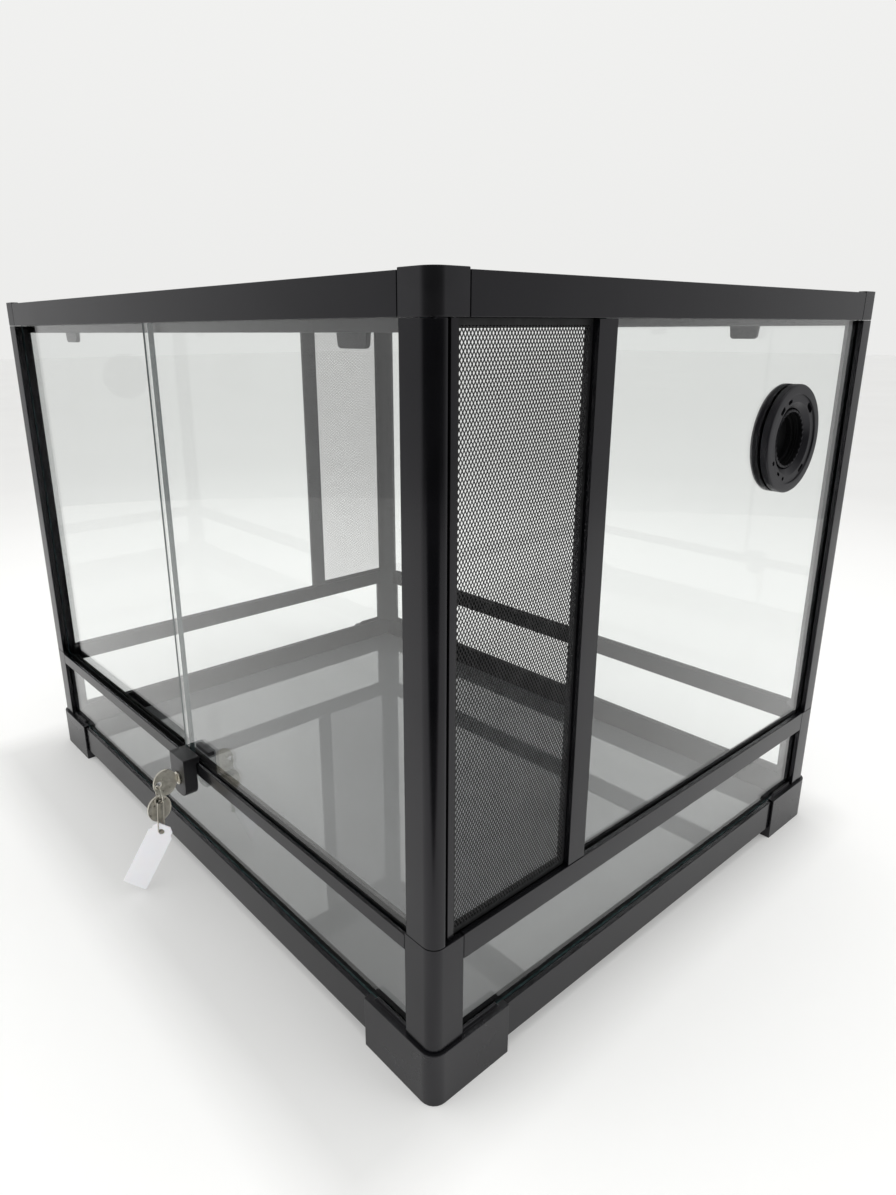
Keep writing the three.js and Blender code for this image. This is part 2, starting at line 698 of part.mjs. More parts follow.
// Outlines are (radius, distance outwards from the pane's outer face).
const OUTER_FLANGE = [
  [PORT.bore, -10],
  [PORT.collar, -10],
  [PORT.collar, GAP],
  [PORT.flange, GAP],
  [PORT.flange, 4.4],
  [PORT.flange - 1.5, 6],
  [29.5, 6],
  [29, 5],
  [23, 5],
  [22.5, 6],
  [PORT.bore, 6],
];
const INNER_NUT = [
  [PORT.collar + GAP, -GLASS - 6],
  [PORT.flange - 1.5, -GLASS - 6],
  [PORT.flange, -GLASS - 4.4],
  [PORT.flange, -GLASS - GAP],
  [PORT.collar + GAP, -GLASS - GAP],
];
const PLUG = [
  [0, -12.5],
  [13, -12.5],
  [13, -10],
  [PORT.bore - GAP, -10],
  [PORT.bore - GAP, -4],
  [PORT.bore - 3, -4],
  [PORT.bore - 3, -8],
  [0, -8],
];

function buildPort() {
  const port = new THREE.Group();
  port.position.set(WIDTH / 2 - PANE_V, PORT.y, PORT.z);
  port.rotation.z = -Math.PI / 2;
  cage.add(port);
  place('port_outer_flange', turned(OUTER_FLANGE), PLASTIC, port);
  place('port_inner_nut', turned(INNER_NUT), PLASTIC, port);
  place('port_plug', turned(PLUG), PLASTIC, port);
}

/** An outline turned round the Y axis; one that doesn't reach the axis makes a ring. */
function turned(outline) {
  const points = [...outline, outline[0]].map(([r, t]) => new THREE.Vector2(r, t));
  if (outline[0][0] === 0) points.pop();
  return new THREE.LatheGeometry(points, 40);
}

// ---- Assembly -----------------------------------------------------------------------------------

buildBase();
buildLowerBand();
buildUpperWalls();
buildTop();
buildDoors();
buildLid();
buildLock();
buildKeys();
buildPort();

export default cage;
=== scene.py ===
"""Framed glass pet cage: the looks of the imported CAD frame, in metres.

Every CAD node is shown through a refined copy of its own solid (welded, edges broken, smooth rounds), or
through a more detailed piece where the real one has holes, steps or teeth.
"""
import json
import math

import bmesh
import bpy
import numpy as np
from mathutils import Matrix, Vector


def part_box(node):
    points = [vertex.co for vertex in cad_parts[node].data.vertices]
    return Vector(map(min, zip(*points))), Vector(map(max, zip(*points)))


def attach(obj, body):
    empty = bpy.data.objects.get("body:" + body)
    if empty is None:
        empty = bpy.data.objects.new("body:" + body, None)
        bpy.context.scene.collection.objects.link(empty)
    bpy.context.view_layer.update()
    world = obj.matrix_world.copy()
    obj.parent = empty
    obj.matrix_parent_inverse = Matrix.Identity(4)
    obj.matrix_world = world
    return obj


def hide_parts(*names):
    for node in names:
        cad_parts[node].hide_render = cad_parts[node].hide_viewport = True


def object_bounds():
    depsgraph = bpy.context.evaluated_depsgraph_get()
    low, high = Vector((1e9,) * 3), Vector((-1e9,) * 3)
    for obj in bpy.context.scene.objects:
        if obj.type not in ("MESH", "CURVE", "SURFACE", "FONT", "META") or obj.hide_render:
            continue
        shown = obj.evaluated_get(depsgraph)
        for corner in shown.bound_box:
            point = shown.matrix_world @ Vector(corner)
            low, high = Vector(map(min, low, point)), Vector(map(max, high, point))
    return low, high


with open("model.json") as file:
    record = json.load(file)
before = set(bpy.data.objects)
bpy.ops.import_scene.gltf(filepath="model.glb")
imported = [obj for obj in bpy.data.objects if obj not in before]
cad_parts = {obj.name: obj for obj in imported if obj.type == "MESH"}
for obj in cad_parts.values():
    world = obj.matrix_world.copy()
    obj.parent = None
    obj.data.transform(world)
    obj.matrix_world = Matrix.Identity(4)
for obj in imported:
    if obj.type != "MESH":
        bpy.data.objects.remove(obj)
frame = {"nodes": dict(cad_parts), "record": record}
CAD_LOW, CAD_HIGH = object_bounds()
RECORD = frame["record"]
NODES = frame["nodes"]
BODY_OF = {n: b for b, ns in RECORD["behaviour"]["bodies"].items() for n in ns}
SLOT_OF = {s["node"]: s["material_slot"] for s in RECORD["subparts"]}
MM = 0.001

# ---- Camera -----------------------------------------------------------------------------------------

CAMERA_AT = (0.56464, -0.43821, 0.42861)
CAMERA_RIGHT = (0.659688, 0.751524, -0.004959)
CAMERA_UP = (-0.224975, 0.203770, 0.952819)
CAMERA_AHEAD = (-0.717076, 0.627447, -0.303499)
LENS, SENSOR = 24.48, 36  # mm; the sensor's size is that of its long side
SHIFT = (0.0214, -0.0079)


def make_camera():
    data = bpy.data.cameras.new("camera")
    data.lens = LENS
    data.sensor_width = SENSOR
    data.shift_x, data.shift_y = SHIFT
    data.clip_start, data.clip_end = 0.02, 60
    cam = bpy.data.objects.new("camera", data)
    bpy.context.scene.collection.objects.link(cam)
    turn = Matrix((CAMERA_RIGHT, CAMERA_UP, [-a for a in CAMERA_AHEAD])).transposed()
    cam.matrix_world = Matrix.Translation(CAMERA_AT) @ turn.to_4x4()
    bpy.context.scene.camera = cam


# ---- Materials --------------------------------------------------------------------------------------


NOISE_ROUGHNESS = 0.55
COOL = (0.96, 0.94, 1.0, 1.0)  # tint of the black finishes' sheen


class Nodes:
    """A material's node tree, with short calls for the nodes used here."""

    def __init__(self, name):
        self.material = bpy.data.materials.new(name)
        self.material.use_nodes = True
        self.tree = self.material.node_tree
        self.shader = self.tree.nodes["Principled BSDF"]
        self.where = self.tree.nodes.new("ShaderNodeTexCoord").outputs["Object"]

    def set(self, **values):
        for name, value in values.items():
            self.shader.inputs[name.replace("_", " ")].default_value = value
        return self

    def noise(self, scale, detail):
        node = self.tree.nodes.new("ShaderNodeTexNoise")
        node.inputs["Scale"].default_value = scale
        node.inputs["Detail"].default_value = detail
        node.inputs["Roughness"].default_value = NOISE_ROUGHNESS
        self.tree.links.new(self.where, node.inputs["Vector"])
        return node.outputs["Fac"]

    def vector(self, operation, source, by=(0, 0, 0)):
        node = self.tree.nodes.new("ShaderNodeVectorMath")
        node.operation = operation
        node.inputs[1].default_value = by
        self.tree.links.new(source, node.inputs[0])
        return node.outputs["Value" if operation in ("LENGTH", "DOT_PRODUCT") else "Vector"]

    def times(self, one, other):
        node = self.tree.nodes.new("ShaderNodeMath")
        node.operation = "MULTIPLY"
        self.tree.links.new(one, node.inputs[0])
        self.tree.links.new(other, node.inputs[1])
        return node.outputs["Value"]

    def ramp(self, source, low, high, start=0.3, end=0.7):
        node = self.tree.nodes.new("ShaderNodeMapRange")
        node.inputs["From Min"].default_value = start
        node.inputs["From Max"].default_value = end
        node.inputs["To Min"].default_value = low
        node.inputs["To Max"].default_value = high
        self.tree.links.new(source, node.inputs["Value"])
        return node.outputs["Result"]

    def blend(self, source, low, high, start=0.3, end=0.7):
        node = self.tree.nodes.new("ShaderNodeValToRGB")
        node.color_ramp.elements[0].position, node.color_ramp.elements[1].position = start, end
        node.color_ramp.elements[0].color = (*low, 1)
        node.color_ramp.elements[1].color = (*high, 1)
        self.tree.links.new(source, node.inputs["Fac"])
        return node.outputs["Color"]

    def bump(self, source, height_mm):
        node = self.tree.nodes.new("ShaderNodeBump")
        node.inputs["Strength"].default_value = 1.0
        node.inputs["Distance"].default_value = height_mm * MM
        self.tree.links.new(source, node.inputs["Height"])
        self.tree.links.new(node.outputs["Normal"], self.shader.inputs["Normal"])
        return self

    def drive(self, **sources):
        for name, source in sources.items():
            self.tree.links.new(source, self.shader.inputs[name.replace("_", " ")])
        return self


def frame_black():
    """Extruded rails and posts in satin black, a little uneven in tone and gloss."""
    m = Nodes("frame_black").set(Specular_IOR_Level=0.36, Specular_Tint=COOL)
    m.drive(
        Base_Color=m.blend(m.noise(26, 4), (0.0018, 0.0018, 0.0024), (0.0040, 0.0040, 0.0049)),
        Roughness=m.ramp(m.noise(9, 5), 0.17, 0.27),
    )
    return m.bump(m.noise(1500, 2), 0.003).material


def track_black():
    """The insides of the grooves that the panes stand and slide in, the tops of the rails' back lips and
    the port's bore: dull and dark, painted shade where these lie in shadow. The port's stopper is drawn in
    it too.
    """
    m = Nodes("track_black").set(Specular_IOR_Level=0.12)
    m.drive(
        Base_Color=m.blend(m.noise(80, 3), (0.0025, 0.0025, 0.003), (0.005, 0.005, 0.0055)),
        Roughness=m.ramp(m.noise(40, 3), 0.5, 0.7),
    )
    return m.bump(m.noise(1500, 2), 0.01).material


def plastic_black():
    """Moulded black plastic: a finer, duller skin with a slight grain."""
    m = Nodes("plastic_black").set(Specular_IOR_Level=0.42, Specular_Tint=COOL)
    m.drive(
        Base_Color=m.blend(m.noise(40, 4), (0.0045, 0.0045, 0.0052), (0.0085, 0.0085, 0.0094)),
        Roughness=m.ramp(m.noise(14, 5), 0.24, 0.36),
    )
    return m.bump(m.noise(2200, 2), 0.006).material


def port_plastic():
    """The port's moulding: a slightly rougher charcoal black."""
    m = Nodes("port_plastic").set(Specular_IOR_Level=0.32, Specular_Tint=COOL)
    m.drive(
        Base_Color=m.blend(m.noise(60, 4), (0.0050, 0.0050, 0.0064), (0.0100, 0.0100, 0.0122)),
        Roughness=m.ramp(m.noise(20, 5), 0.30, 0.44),
    )
    return m.bump(m.noise(1800, 3), 0.02).material


def mesh_black():
    """The perforated sheets: a matt black coat."""
    m = Nodes("mesh_black").set(Specular_IOR_Level=0.4)
    m.drive(
        Base_Color=m.blend(m.noise(300, 3), (0.006, 0.006, 0.007), (0.014, 0.014, 0.015)),
        Roughness=m.ramp(m.noise(90, 3), 0.45, 0.62),
    )
    return m.bump(m.noise(3500, 2), 0.01).material


def clear_glass():
    """The panes' faces: clear, with a faint green tint and a very shallow waviness."""
    m = Nodes("clear_glass").set(
        Transmission_Weight=1.0, IOR=1.5, Roughness=0.0, Base_Color=(0.930, 0.942, 0.936, 1)
    )
    return m.bump(m.noise(3.0, 1), 0.004).material


def glass_edge():
    """The panes' ground edges, where the glass looks dark teal."""
    m = Nodes("glass_edge").set(Specular_IOR_Level=0.12)
    m.drive(
        Base_Color=m.blend(m.noise(120, 2), (0.030, 0.062, 0.064), (0.062, 0.112, 0.112)),
        Roughness=m.ramp(m.noise(400, 2), 0.18, 0.3),
    )
    return m.material


def floor_gloss():
    """The floor panel: grey under a glossy coat that mirrors the walls."""
    m = Nodes("floor_gloss").set(
        Specular_IOR_Level=0.7, Coat_Weight=1.0, Coat_Roughness=0.0, Coat_IOR=1.55
    )
    m.drive(
        Base_Color=m.blend(m.noise(6, 4), (0.200, 0.208, 0.214), (0.228, 0.236, 0.242)),
        Roughness=m.ramp(m.noise(18, 4), 0.004, 0.02),
    )
    return m.material


def key_nickel():
    """Worn nickel plate, warm and slightly blotchy."""
    m = Nodes("key_nickel").set(Metallic=1.0)
    m.drive(
        Base_Color=m.blend(m.noise(150, 4), (0.52, 0.49, 0.42), (0.74, 0.71, 0.63), 0.35, 0.65),
        Roughness=m.ramp(m.noise(300, 3), 0.26, 0.40),
    )
    return m.bump(m.noise(260, 3), 0.02).material


def tag_white():
    """The tag's white, with a faint lilac cast."""
    m = Nodes("tag_white").set(Subsurface_Weight=0.08, Subsurface_Scale=0.002, Sheen_Weight=0.05)
    m.drive(
        Base_Color=m.blend(m.noise(90, 4), (0.94, 0.935, 0.985), (0.97, 0.965, 0.995)),
        Roughness=m.ramp(m.noise(200, 3), 0.42, 0.55),
    )
    return m.bump(m.noise(1400, 3), 0.01).material


MATERIALS = {}


def make_materials():
    for make in (
        frame_black,
        track_black,
        plastic_black,
        port_plastic,
        mesh_black,
        clear_glass,
        glass_edge,
        floor_gloss,
        key_nickel,
        tag_white,
    ):
        MATERIALS[make.__name__] = make()


# ---- Pieces -----------------------------------------------------------------------------------------

# The planes of the frame's outer faces, and how far behind them its grooves run.
OUTER_LOW = Vector((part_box("mid_rail_left")[0].x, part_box("mid_rail_front")[0].y, 0))
OUTER_HIGH = Vector((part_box("mid_rail_right")[1].x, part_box("mid_rail_back")[1].y, 0))
MIDDLE_Y = (OUTER_LOW.y + OUTER_HIGH.y) / 2
GROOVE = (2.3 * MM, 15.2 * MM)
FACES = 0.9  # a face whose normal has more than this along an axis faces that way
WELD, FLAT = 2e-6, 0.6  # points this close (m) are one, and faces this close in angle (degrees) are flat
SHARP = 38  # degrees; an edge that turns more is rounded
RAIL_EDGE, FOOT_EDGE, PANE_CHAMFER = 0.35 * MM, 0.4 * MM, 0.4 * MM
# How far below a foot's top edge the groove line round it starts, is deepest and ends, and its depth.
LINE_LEVELS, LINE_DEPTH = (1.2 * MM, 1.9 * MM, 2.6 * MM), 0.9 * MM
RING_EDGE, RING_THINNER = 0.2 * MM, 0.16 * MM
KEY_RIM, KEY_SUNK, KEY_EDGE = 1.0 * MM, 0.28 * MM, 0.16 * MM
# Edge width of the nodes that are shown as they are, by material.
PLAIN_EDGE = {
    "frame_black": RAIL_EDGE,
    "plastic_black": 0.4 * MM,
    "floor_gloss": 0.3 * MM,
    "key_nickel": 0.2 * MM,
    "tag_white": 0.12 * MM,
    "track_black": 0.3 * MM,
}


def add_piece(name, mesh, node, material, smooth=35, also=()):
    """Puts a mesh in the scene in place of a CAD node, on that node's body. smooth=0 leaves it faceted."""
    piece = bpy.data.objects.new(name, mesh)
    bpy.context.scene.collection.objects.link(piece)
    for m in (material, *also):
        mesh.materials.append(MATERIALS[m])
    if smooth:
        mesh.shade_smooth()
        mesh.set_sharp_from_angle(angle=math.radians(smooth))
        even = piece.modifiers.new("even_shading", "WEIGHTED_NORMAL")
        even.keep_sharp = True
    else:
        mesh.shade_flat()
    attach(piece, BODY_OF[node])
    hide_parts(node)


def welded(node):
    """The CAD node's solid as a clean bmesh: points joined and flat faces made whole."""
    bm = bmesh.new()
    bm.from_mesh(NODES[node].data)
    bmesh.ops.remove_doubles(bm, verts=bm.verts, dist=WELD)
    bmesh.ops.dissolve_limit(
        bm, angle_limit=math.radians(FLAT), verts=bm.verts, edges=bm.edges, delimit={"NORMAL"}
    )
    bmesh.ops.recalc_face_normals(bm, faces=bm.faces)
    return bm


def break_edges(bm, width, segments=2, angle=SHARP):
    """Rounds every edge that turns more than the given angle."""
    sharp = [
        e for e in bm.edges if len(e.link_faces) == 2 and e.calc_face_angle() > math.radians(angle)
    ]
    bmesh.ops.bevel(
        bm,
        geom=sharp,
        offset=width,
        offset_type="OFFSET",
        segments=segments,
        profile=0.5,
        affect="EDGES",
        clamp_overlap=True,
    )


def finished(bm, name):
    """The bmesh as a mesh, its many-sided faces cut into triangles."""
    mesh = bpy.data.meshes.new(name)
    bmesh.ops.triangulate(bm, faces=[f for f in bm.faces if len(f.verts) > 4])
    bm.to_mesh(mesh)
    bm.free()
    return mesh


def refine(node, material):
    """A node as it is, with its edges rounded."""
    bm = welded(node)
    break_edges(bm, PLAIN_EDGE[material])
    add_piece(node + "_piece", finished(bm, node), node, material)


def rail(node):
    """A middle or base rail, dull black in its grooves and on top of its back lip, as painted shade."""
    bm = welded(node)
    break_edges(bm, RAIL_EDGE)
    bm.normal_update()
    for face in bm.faces:
        middle = face.calc_center_median()
        behind = min(
            middle.x - OUTER_LOW.x,
            OUTER_HIGH.x - middle.x,
            middle.y - OUTER_LOW.y,
            OUTER_HIGH.y - middle.y,
        )
        # Painted shade: the faces in the grooves and on top of the back lip take the dull track_black.
        back_lip = behind > GROOVE[1] and face.normal.z > FACES
        face.material_index = 1 if GROOVE[0] < behind < GROOVE[1] or back_lip else 0
    add_piece(node + "_piece", finished(bm, node), node, "frame_black", also=("track_black",))


def foot(node):
    """A corner foot, with a fine line round it just under its top edge."""
    bm = welded(node)
    break_edges(bm, FOOT_EDGE)
    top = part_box(node)[1].z
    for level in LINE_LEVELS:
        bmesh.ops.bisect_plane(
            bm,
            geom=[*bm.verts, *bm.edges, *bm.faces],
            plane_co=(0, 0, top - level),
            plane_no=(0, 0, 1),
            dist=1e-7,
        )
    bm.normal_update()
    for v in bm.verts:
        # How far the point is outside the planes of the frame's outer faces.
        outside = max(abs(v.co.x) - OUTER_HIGH.x, abs(v.co.y - MIDDLE_Y) - (OUTER_HIGH.y - MIDDLE_Y))
        if abs(v.co.z - (top - LINE_LEVELS[1])) < 1e-5 and outside > 1 * MM:
            v.co -= Vector((v.normal.x, v.normal.y, 0)).normalized() * LINE_DEPTH
    add_piece(node + "_piece", finished(bm, node), node, "plastic_black", smooth=25)


def pane(node):
    """A glass pane: polished faces and darker ground edges with a small chamfer."""
    bm = welded(node)
    low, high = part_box(node)
    thin = min(range(3), key=lambda i: (high - low)[i])
    break_edges(bm, PANE_CHAMFER, segments=1)
    bm.normal_update()
    for face in bm.faces:
        face.material_index = 0 if abs(face.normal[thin]) > FACES else 1
    mesh = finished(bm, node)
    add_piece(node + "_piece", mesh, node, "clear_glass", smooth=0, also=("glass_edge",))


def split_ring(node):
    """The key ring, drawn in a little so that it stays clear of the key's hole as it swings."""
    bm = welded(node)
    break_edges(bm, RING_EDGE)
    bm.normal_update()
    for v in bm.verts:
        v.co -= v.normal * RING_THINNER
    add_piece(node + "_piece", finished(bm, node), node, "key_nickel")


def key_piece(node):
    """A key whose flat sides are sunk inside a raised rim."""
    bm = welded(node)
    flats = [f for f in bm.faces if abs(f.normal.x) > FACES]
    bmesh.ops.inset_region(
        bm, faces=flats, thickness=KEY_RIM, depth=-KEY_SUNK, use_even_offset=True
    )
    break_edges(bm, KEY_EDGE, angle=50)
    add_piece(node + "_piece", finished(bm, node), node, "key_nickel")


# ---- Service port -----------------------------------------------------------------------------------

# Outlines are (radius, distance outwards from the pane's outer face), in mm; a third number is how far
# a point moves out on every other pair of steps round, which makes teeth.
FLANGE = [
    (19.0, -10.0),
    (22.5, -10.0),
    (22.5, 0.3),
    (37.4, 0.3),
    (38.0, 0.9),
    (38.0, 4.9),
    (37.4, 5.7),
    (36.6, 6.0),
    (31.9, 6.0),
    (31.4, 5.8),
    (31.2, 5.0),
    (26.0, 5.0),
    (25.3, 4.7),
    (22.3, 2.0),
    (21.7, 1.6),
    (21.7, -2.2),
    (20.6, -2.2),
    (20.6, 2.2),
    (20.2, 2.6),
    (19.5, 2.6, 0.7),
    (19.0, 2.2, 0.7),
    *[(19.0 + 0.3 * (i % 2), 0.4 - 0.9 * i) for i in range(11)],
]
NUT = [
    (22.8, -10.0),
    (36.2, -10.0),
    (37.3, -9.6),
    (38.0, -8.6),
    (38.0, -5.1),
    (37.3, -4.3),
    (22.8, -4.3),
]
# Angle round the port from +Y towards +Z, radius, length and width, in degrees and mm.
PORT_SLOTS = [
    (46, 28.6, 9.0, 4.2),
    (134, 28.6, 6.6, 3.8),
    (112, 28.2, 5.6, 2.8),
    (-51, 28.6, 7.6, 2.8),
    (-106, 28.4, 2.9, 2.9),
    (-124, 27.9, 4.2, 2.2),
    (-149, 28.8, 3.4, 3.0),
]
PORT_STEPS = 120
FACE_OUT = 6.0  # mm from the pane's outer face to the flange's front
SLOT_STEPS, SLOT_REACH = 16, (1.2, 8.0)  # the slots are cut from past the front down to the first of these
# The bore's surface, dull black as painted shade in the deep tube: nearer the axis than this and no
# further out.
PORT_BORE, BORE_OUT = 19.4 * MM, 2.4 * MM


def turned(outline, middle):
    """A ring: a closed outline turned round the X axis through middle."""
    bm = bmesh.new()
    rings = []
    for k in range(PORT_STEPS):
        angle = 2 * math.pi * k / PORT_STEPS
        out = Vector((0, math.cos(angle), math.sin(angle)))
        rings.append([])
        for radius, reach, *tooth in outline:
            along = reach + (tooth[0] if tooth and k % 4 < 2 else 0)
            rings[-1].append(bm.verts.new(middle + (out * radius + Vector((along, 0, 0))) * MM))
    for here, there in zip(rings, rings[1:] + rings[:1]):
        for i in range(len(outline)):
            j = (i + 1) % len(outline)
            bm.faces.new((here[i], here[j], there[j], there[i]))
    bmesh.ops.recalc_face_normals(bm, faces=bm.faces)
    return bm


def add_slot(bm, middle, angle, radius, long, wide):
    """A round-ended bar through the flange's face, to be cut out of it."""
    turn = Matrix.Rotation(math.radians(angle), 3, "X")
    half = (long - wide) / 2
    loop = []
    for i in range(SLOT_STEPS):
        a = 2 * math.pi * i / SLOT_STEPS
        side = half if math.sin(a) >= 0 else -half
        loop.append(Vector((0, radius + wide / 2 * math.cos(a), side + wide / 2 * math.sin(a))))
    ends = [
        [bm.verts.new(middle + turn @ (p + Vector((reach, 0, 0))) * MM) for p in loop]
        for reach in SLOT_REACH
    ]
    bm.faces.new(ends[0][::-1])
    bm.faces.new(ends[1])
    for i in range(SLOT_STEPS):
        j = (i + 1) % SLOT_STEPS
        bm.faces.new((ends[0][i], ends[0][j], ends[1][j], ends[1][i]))


def carved(bm, cutter, name):
    """One solid less another."""
    objects = []
    for part in (bm, cutter):
        objects.append(bpy.data.objects.new("carving", finished(part, "carving")))
        bpy.context.scene.collection.objects.link(objects[-1])
    cut = objects[0].modifiers.new("cut", "BOOLEAN")
    cut.object = objects[1]
    cut.operation = "DIFFERENCE"
    cut.solver = "EXACT"
    shown = objects[0].evaluated_get(bpy.context.evaluated_depsgraph_get())
    mesh = bpy.data.meshes.new_from_object(shown)
    mesh.name = name
    for o in objects:
        bpy.data.meshes.remove(o.data)
    return mesh


def port():
    """The port's toothed and slotted outer flange, its inner nut and its stopper."""
    low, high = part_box("port_outer_flange")
    middle = Vector((high.x - FACE_OUT * MM, (low.y + high.y) / 2, (low.z + high.z) / 2))
    cutter = bmesh.new()
    for slot in PORT_SLOTS:
        add_slot(cutter, middle, *slot)
    bmesh.ops.recalc_face_normals(cutter, faces=cutter.faces)
    mesh = carved(turned(FLANGE, middle), cutter, "port_flange")
    node = "port_outer_flange"
    add_piece(node + "_piece", mesh, node, "port_plastic", smooth=32, also=("track_black",))
    # Painted shade: the bore's faces take the dull track_black.
    for face in mesh.polygons:
        away = face.center - middle
        if math.hypot(away.y, away.z) < PORT_BORE and away.x < BORE_OUT:
            face.material_index = 1
    nut = finished(turned(NUT, middle), "port_nut")
    add_piece("port_inner_nut_piece", nut, "port_inner_nut", "port_plastic", smooth=32)
    refine("port_plug", "track_black")


# ---- Perforated mesh --------------------------------------------------------------------------------

# The plain hem round a sheet, as a part of the holes' pitch, and how far it stands out on both sides.
HEM, HEM_PROUD = 0.8, 0.05 * MM
# Corners of a hem's strips, two by two along u, then v, then w, as faces.
STRIP_FACES = ((0, 1, 3, 2), (4, 5, 7, 6), (0, 1, 5, 4), (2, 3, 7, 6), (0, 2, 6, 4), (1, 3, 7, 5))


def lattice(u_range, v_range, pitch_u, pitch_v, open_u, open_v):
    """Points, faces and holes of a flat sheet of staggered rhombic holes inside u_range and v_range.

    Each rhombic cell has four faces round its hole; cells share their outer corners. open_u and open_v
    are half the holes' width and height.
    """
    half = (pitch_u / 2, pitch_v / 2)
    columns = int((u_range[1] - u_range[0]) / half[0]) + 1
    rows = int((v_range[1] - v_range[0]) / half[1]) + 1
    start = (
        (u_range[0] + u_range[1] - (columns - 1) * half[0]) / 2,
        (v_range[0] + v_range[1] - (rows - 1) * half[1]) / 2,
    )
    j, i = np.meshgrid(np.arange(rows), np.arange(columns), indexing="ij")
    cell = ((i + j) % 2 == 0) & (i > 0) & (i < columns - 1) & (j > 0) & (j < rows - 1)
    ci, cj = i[cell], j[cell]
    corner = lambda a, b: b * columns + a
    grid = np.stack([start[0] + i.ravel() * half[0], start[1] + j.ravel() * half[1]], axis=1)
    outer = np.stack(
        [corner(ci + 1, cj), corner(ci, cj + 1), corner(ci - 1, cj), corner(ci, cj - 1)], axis=1
    )
    centre = grid[corner(ci, cj)]
    hole = np.array([(open_u, 0), (0, open_v), (-open_u, 0), (0, -open_v)])
    inner_points = (centre[:, None, :] + hole[None]).reshape(-1, 2)
    inner = len(grid) + np.arange(len(ci) * 4).reshape(-1, 4)
    quads = []
    for k in range(4):
        n = (k + 1) % 4
        quads.append(np.stack([outer[:, k], outer[:, n], inner[:, n], inner[:, k]], axis=1))
    return np.concatenate([grid, inner_points]), np.concatenate(quads), inner


def perforated(name, u_range, v_range, pitch, hole, levels, place):
    """A perforated sheet with real thickness and a plain hem, between two levels of w.

    place turns arrays of u, v and w into points.
    """
    flat, quads, inner = lattice(u_range, v_range, *pitch, *hole)
    used = np.unique(quads)
    index = np.full(len(flat), -1)
    index[used] = np.arange(len(used))
    flat, quads, inner = flat[used], index[quads], index[inner]
    n = len(flat)
    points = np.concatenate([place(*flat.T, np.full(n, level)) for level in levels])
    walls = []
    for k in range(4):
        a, b = inner[:, k], inner[:, (k + 1) % 4]
        walls.append(np.stack([a, b, b + n, a + n], axis=1))
    faces = np.concatenate([quads[:, ::-1], quads + n, *walls])
    mesh = bpy.data.meshes.new(name)
    mesh.from_pydata(points.tolist(), [], faces.tolist())
    rim = bmesh.new()
    rim.from_mesh(mesh)
    edges = [e for e in rim.edges if e.is_boundary]
    bmesh.ops.bridge_loops(rim, edges=edges)
    thick = (levels[0] - HEM_PROUD, levels[1] + HEM_PROUD)
    inner_u, inner_v = (
        (low + HEM * size, high - HEM * size) for (low, high), size in zip((u_range, v_range), pitch)
    )
    for us, vs in (
        ((u_range[0], inner_u[0]), v_range),
        ((inner_u[1], u_range[1]), v_range),
        (inner_u, (v_range[0], inner_v[0])),
        (inner_u, (inner_v[1], v_range[1])),
    ):
        corners = np.array([(u, v, w) for u in us for v in vs for w in thick])
        block = [rim.verts.new(point) for point in place(*corners.T)]
        for side in STRIP_FACES:
            rim.faces.new([block[i] for i in side])
    bmesh.ops.recalc_face_normals(rim, faces=rim.faces)
    rim.to_mesh(mesh)
    rim.free()
    return mesh


BAR_WIDTH, SHEET_BACK = 4.9 * MM, 1.8 * MM  # the side's frame bar, and how far its sheet stands back
SIDE_PITCH = (2.22 * MM, 3.8 * MM)
# Half the width and height of a side's holes, and the sheet's thickness: the left one is more open.
SIDE_HOLES = {"right": (0.89 * MM, 1.56 * MM, 0.45 * MM), "left": (0.95 * MM, 1.68 * MM, 0.3 * MM)}


def side_mesh(side):
    """A side vent: a frame bar beside the corner post, and the perforated sheet from there on."""
    node = f"side_mesh_{side}"
    low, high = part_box(node)
    if side == "right":
        outwards, outer, bar_end = 1, high.x, low.y + BAR_WIDTH
        span = (bar_end, high.y)
    else:
        outwards, outer, bar_end = -1, low.x, high.y - BAR_WIDTH
        span = (low.y, bar_end)
    place = lambda u, v, w: np.stack([outer - outwards * (SHEET_BACK + w), u, v], axis=1)
    *hole, thick = SIDE_HOLES[side]
    sheet = perforated(node, span, (low.z, high.z), SIDE_PITCH, hole, (0, thick), place)
    add_piece(node + "_piece", sheet, node, "mesh_black", smooth=0)

    bar = welded(node)
    extra = [v for v in bar.verts if (v.co.y - bar_end) * outwards > 0]
    bmesh.ops.delete(bar, geom=extra, context="VERTS")
    bmesh.ops.holes_fill(bar, edges=[e for e in bar.edges if e.is_boundary])
    break_edges(bar, RAIL_EDGE)
    add_piece(node + "_bar", finished(bar, node + "_bar"), node, "frame_black")


LID_PITCH, LID_HOLE, LID_THICK = (4.4 * MM, 7.6 * MM), (1.6 * MM, 2.9 * MM), 0.7 * MM


def lid_mesh():
    """The lid's perforated panel, in two halves side by side."""
    low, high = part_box("lid_mesh")
    middle = (low + high) / 2
    levels = (middle.z, middle.z + LID_THICK)
    place = lambda u, v, w: np.stack([u, v, w], axis=1)
    for name, span in (("lid_mesh_left", (low.x, middle.x)), ("lid_mesh_right", (middle.x, high.x))):
        sheet = perforated(name, span, (low.y, high.y), LID_PITCH, LID_HOLE, levels, place)
        add_piece(name, sheet, "lid_mesh", "mesh_black", smooth=0)


# ---- Build ------------------------------------------------------------------------------------------


def build_pieces():
    for node in sorted(NODES):
        if node.startswith(("side_mesh", "lid_mesh", "port")):
            continue
        if SLOT_OF[node] == "clear_glass":
            pane(node)
        elif "key" in node.split("_"):
            key_piece(node)
        elif node == "split_ring":
            split_ring(node)
        elif node.startswith(("mid_rail", "base_rail")):
            rail(node)
        elif node.startswith("foot"):
            foot(node)
        else:
            refine(node, SLOT_OF[node])
    side_mesh("right")
    side_mesh("left")
    lid_mesh()
    port()


# ---- Stage ------------------------------------------------------------------------------------------


